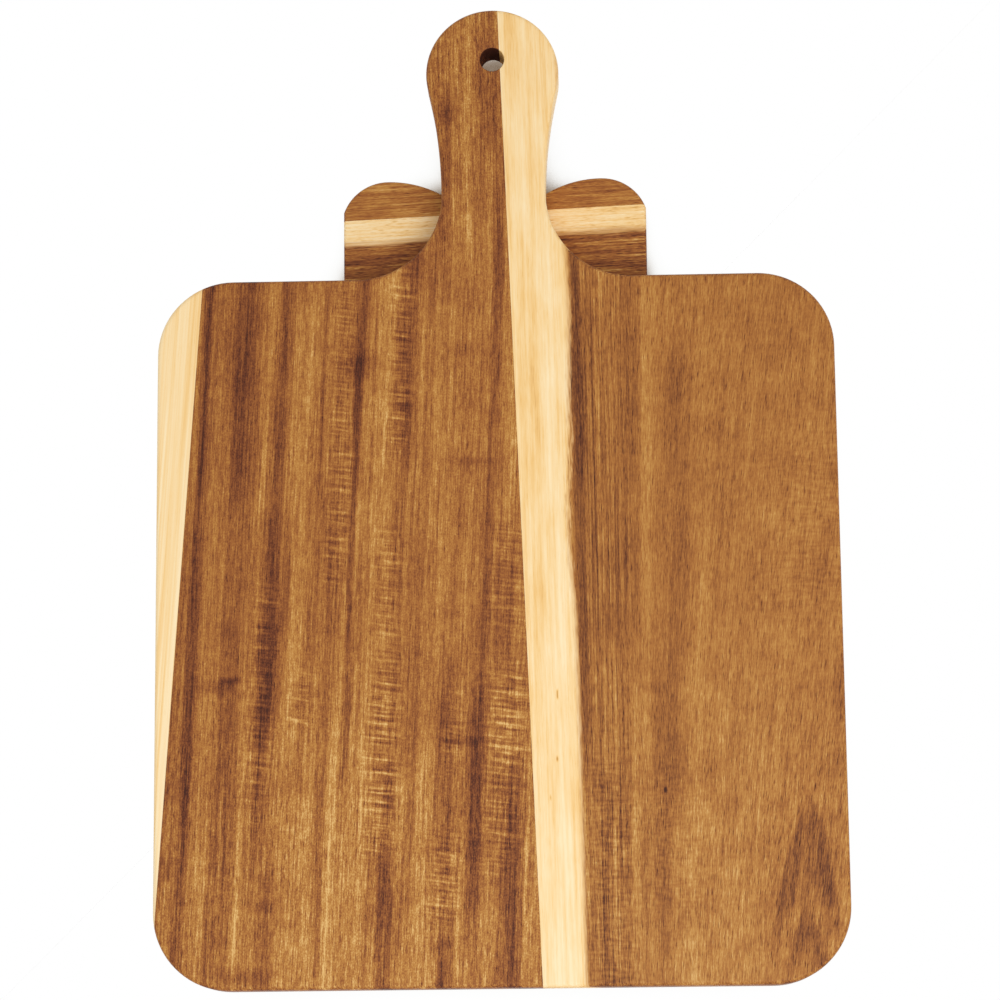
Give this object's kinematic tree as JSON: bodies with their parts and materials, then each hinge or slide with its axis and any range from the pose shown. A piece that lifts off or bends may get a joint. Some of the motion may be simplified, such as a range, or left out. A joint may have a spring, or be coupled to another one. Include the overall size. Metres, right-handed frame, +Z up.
{
  "type": "folding-leg serving tray",
  "caption": "Flat rimless wooden serving tray with a paddle handle, a hanging hole and hinged leg panels that fold flat against its underside.",
  "frame": {"origin": "on the surface the folded tray lies on, under the middle of its length and width", "axes": "+X to the right, +Y along the board to the end of the handle, +Z up through the serving face"},
  "size_m": [0.305, 0.4444, 0.0325],
  "materials": {
    "acacia_heartwood": "oiled",
    "acacia_sapwood": "oiled",
    "hinge_brass": "satin",
    "pin_steel": "bright",
    "magnet_nickel": "plated"
  },
  "bodies": {
    "board": {"board_left_edge_stave": "acacia_sapwood", "board_left_stave": "acacia_heartwood", "board_right_stave": "acacia_heartwood", "rear_left_hinge_board_leaf": "hinge_brass", "rear_left_hinge_pin": "pin_steel", "rear_left_hinge_board_screw_1": "hinge_brass", "rear_left_hinge_board_screw_2": "hinge_brass", "rear_right_hinge_board_leaf": "hinge_brass", "rear_right_hinge_pin": "pin_steel", "rear_right_hinge_board_screw_1": "hinge_brass", "rear_right_hinge_board_screw_2": "hinge_brass", "front_left_hinge_board_leaf": "hinge_brass", "front_left_hinge_pin": "pin_steel", "front_left_hinge_board_screw_1": "hinge_brass", "front_left_hinge_board_screw_2": "hinge_brass", "front_right_hinge_board_leaf": "hinge_brass", "front_right_hinge_pin": "pin_steel", "front_right_hinge_board_screw_1": "hinge_brass", "front_right_hinge_board_screw_2": "hinge_brass", "rear_board_magnet": "magnet_nickel", "front_board_magnet": "magnet_nickel"},
    "rear_leg": {"rear_leg_hinge_stave": "acacia_heartwood", "rear_leg_foot_stave": "acacia_heartwood", "rear_left_hinge_leg_leaf": "hinge_brass", "rear_left_hinge_leg_screw_1": "hinge_brass", "rear_left_hinge_leg_screw_2": "hinge_brass", "rear_right_hinge_leg_leaf": "hinge_brass", "rear_right_hinge_leg_screw_1": "hinge_brass", "rear_right_hinge_leg_screw_2": "hinge_brass", "rear_leg_magnet": "magnet_nickel"},
    "front_leg": {"front_leg_hinge_stave": "acacia_heartwood", "front_leg_foot_stave": "acacia_heartwood", "front_left_hinge_leg_leaf": "hinge_brass", "front_left_hinge_leg_screw_1": "hinge_brass", "front_left_hinge_leg_screw_2": "hinge_brass", "front_right_hinge_leg_leaf": "hinge_brass", "front_right_hinge_leg_screw_1": "hinge_brass", "front_right_hinge_leg_screw_2": "hinge_brass", "front_leg_magnet": "magnet_nickel"}
  },
  "joints": [
    {"name": "rear_leg_fold", "type": "hinge", "parent": "board", "child": "rear_leg", "pos_m": [0, 0.03875, 0.01425], "axis": [-1, 0, 0], "range_deg": [0, 90]},
    {"name": "front_leg_fold", "type": "hinge", "parent": "board", "child": "front_leg", "pos_m": [0, -0.16525, 0.01425], "axis": [-1, 0, 0], "range_deg": [0, 90]}
  ]
}
